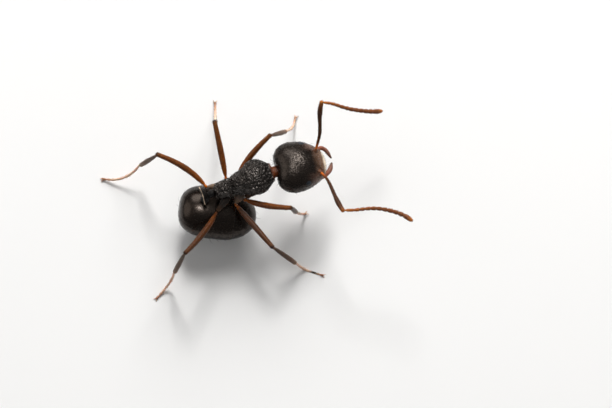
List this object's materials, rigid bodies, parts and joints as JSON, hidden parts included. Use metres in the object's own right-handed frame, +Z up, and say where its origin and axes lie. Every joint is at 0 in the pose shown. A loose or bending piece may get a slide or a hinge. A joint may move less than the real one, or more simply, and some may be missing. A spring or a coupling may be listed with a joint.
{
  "type": "ant",
  "caption": "Life-size still model of a worker ant standing with raised feelers, tucked abdomen and spread legs.",
  "frame": {"origin": "point on the floor below the middle of the whole ant's bounding box", "axes": "+Z up, the ant faces -Y, its left side is +X"},
  "size_m": [0.0046, 0.0062, 0.0022],
  "materials": {
    "head": "blackish cuticle, finely pitted, with a thin silvery bloom of hairs",
    "thorax": "black cuticle, coarsely netted with pits",
    "neck": "smooth reddish brown cuticle",
    "eye": "bluish black faceted lens",
    "mandible": "reddish brown cuticle, dark at the teeth",
    "scape": "dark brown cuticle, orange at both ends",
    "funiculus": "reddish brown cuticle, paler at the joints, finely hairy",
    "petiole": "dark brown cuticle with a thin pale crest",
    "gaster": "glossy black brown cuticle with faint bands",
    "coxa": "greyish brown cuticle",
    "femur": "translucent orange brown cuticle with a darker core",
    "tibia": "dark greyish brown cuticle",
    "tarsus": "pale amber cuticle, finely hairy"
  },
  "bodies": {
    "root": {"coxa_front_left": "coxa", "coxa_front_right": "coxa", "coxa_hind_left": "coxa", "coxa_hind_right": "coxa", "coxa_middle_left": "coxa", "coxa_middle_right": "coxa", "eye_left": "eye", "eye_right": "eye", "femur_front_left": "femur", "femur_front_right": "femur", "femur_hind_left": "femur", "femur_hind_right": "femur", "femur_middle_left": "femur", "femur_middle_right": "femur", "funiculus_left": "funiculus", "funiculus_right": "funiculus", "gaster_first": "gaster", "gaster_second": "gaster", "gaster_third": "gaster", "gaster_tip": "gaster", "head": "head", "mandible_left": "mandible", "mandible_right": "mandible", "mesonotum": "thorax", "neck": "neck", "petiole": "petiole", "pronotum": "thorax", "propodeum": "thorax", "scape_left": "scape", "scape_right": "scape", "tarsus_front_left": "tarsus", "tarsus_front_right": "tarsus", "tarsus_hind_left": "tarsus", "tarsus_hind_right": "tarsus", "tarsus_middle_left": "tarsus", "tarsus_middle_right": "tarsus", "tibia_front_left": "tibia", "tibia_front_right": "tibia", "tibia_hind_left": "tibia", "tibia_hind_right": "tibia", "tibia_middle_left": "tibia", "tibia_middle_right": "tibia"}
  },
  "joints": []
}
